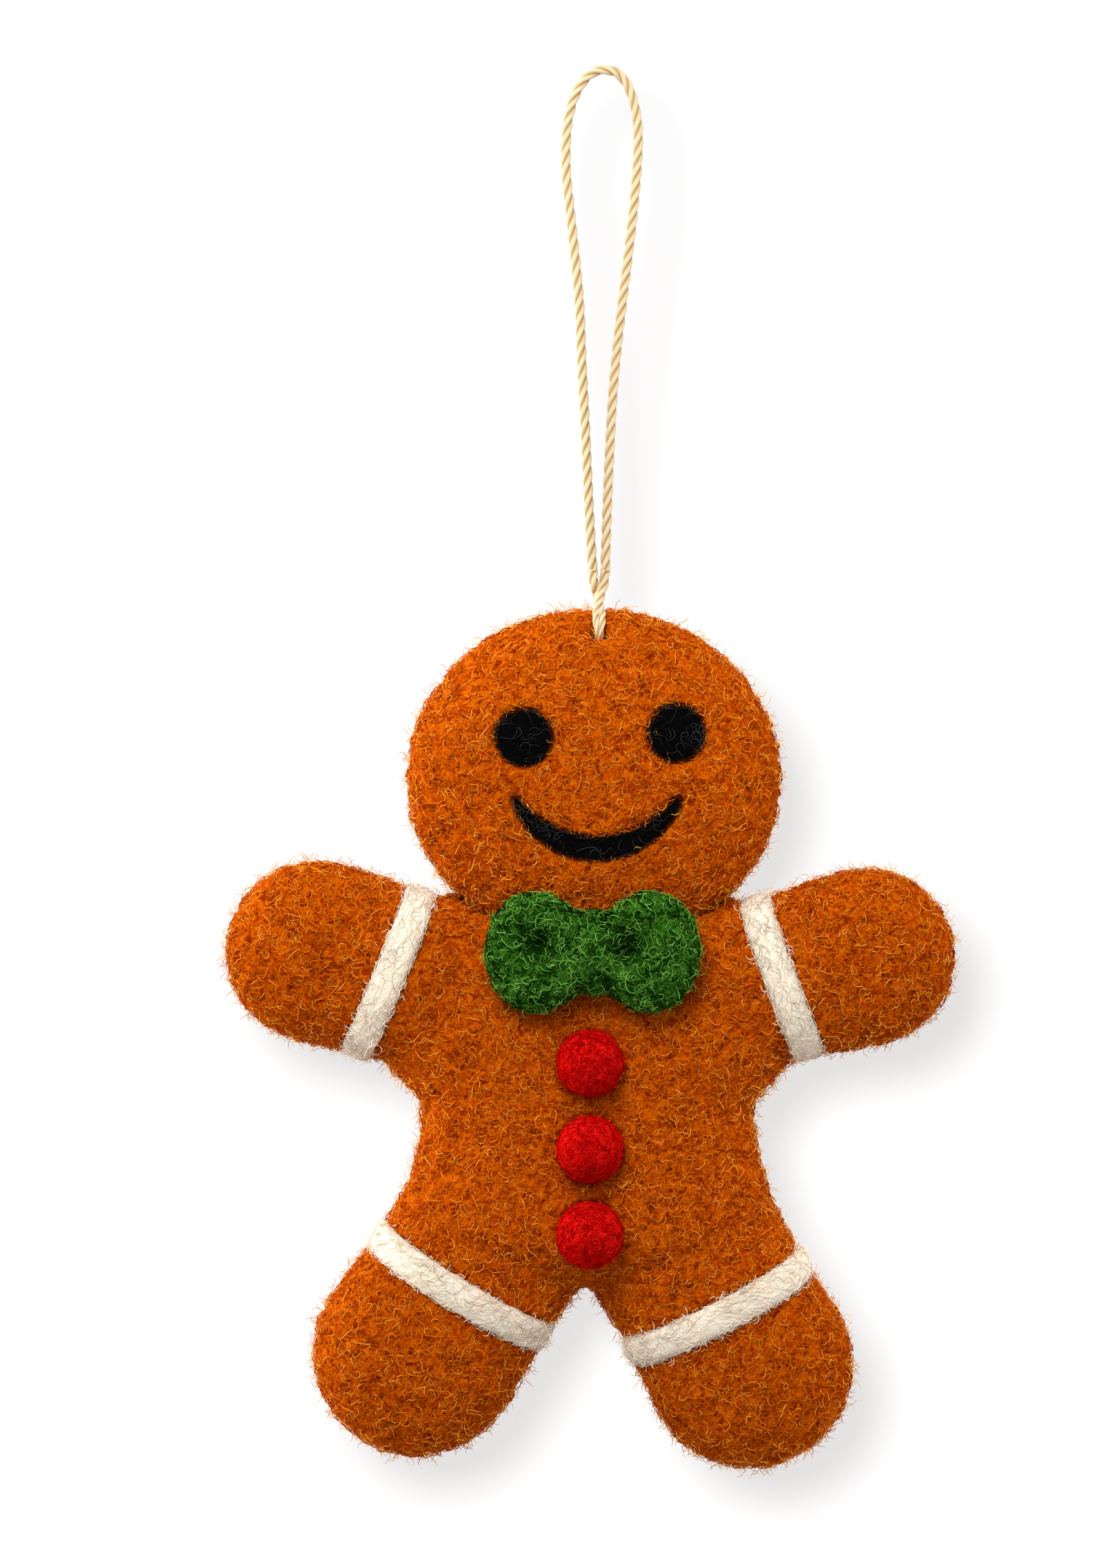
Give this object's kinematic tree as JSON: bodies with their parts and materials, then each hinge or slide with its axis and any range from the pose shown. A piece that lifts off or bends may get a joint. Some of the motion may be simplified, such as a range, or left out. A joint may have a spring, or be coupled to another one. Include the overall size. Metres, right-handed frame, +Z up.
{
  "type": "felt christmas ornament",
  "caption": "Needle-felted gingerbread figure with a bow tie, buttons and white cuffs, hanging on a twisted cord loop.",
  "frame": {"origin": "the inside of the cord loop's top, where a twig or a hook bears on it", "axes": "+Z up, against gravity; -Y is the side with the face; +X to the right as seen from the front"},
  "size_m": [0.1056, 0.026, 0.2032],
  "materials": {
    "gingerbread_felt": "matted wool felt, needled solid, with loose curly fibres standing off it",
    "white_roving": "cream white wool roving, laid flat and lightly needled",
    "black_felt": "black wool, needled flat into the head",
    "green_wool": "green wool, needled into lobes with deep dimples",
    "red_felt": "red wool felt balls, rolled tight",
    "cream_cord": "twisted three-strand cotton cord"
  },
  "bodies": {
    "loop": {"cord_loop": "cream_cord"},
    "neck": {"cord_neck": "cream_cord"},
    "figure": {"head": "gingerbread_felt", "torso": "gingerbread_felt", "arm_left": "gingerbread_felt", "arm_right": "gingerbread_felt", "leg_left": "gingerbread_felt", "leg_right": "gingerbread_felt", "arm_band_left": "white_roving", "arm_band_right": "white_roving", "leg_band_left": "white_roving", "leg_band_right": "white_roving", "eye_left": "black_felt", "eye_right": "black_felt", "smile": "black_felt", "bow_tie": "green_wool", "button_top": "red_felt", "button_middle": "red_felt", "button_bottom": "red_felt", "cord_tail": "cream_cord", "cord_knot": "cream_cord"}
  },
  "joints": [
    {"name": "swivel", "type": "hinge", "parent": "loop", "child": "neck", "pos_m": [-0.00085, 0, -0.07205], "axis": [0, 0, 1], "range_deg": [-180, 180]},
    {"name": "fold", "type": "hinge", "parent": "neck", "child": "figure", "pos_m": [-0.00085, 0, -0.0753], "axis": [1, 0, 0], "range_deg": [-90, 90]}
  ]
}
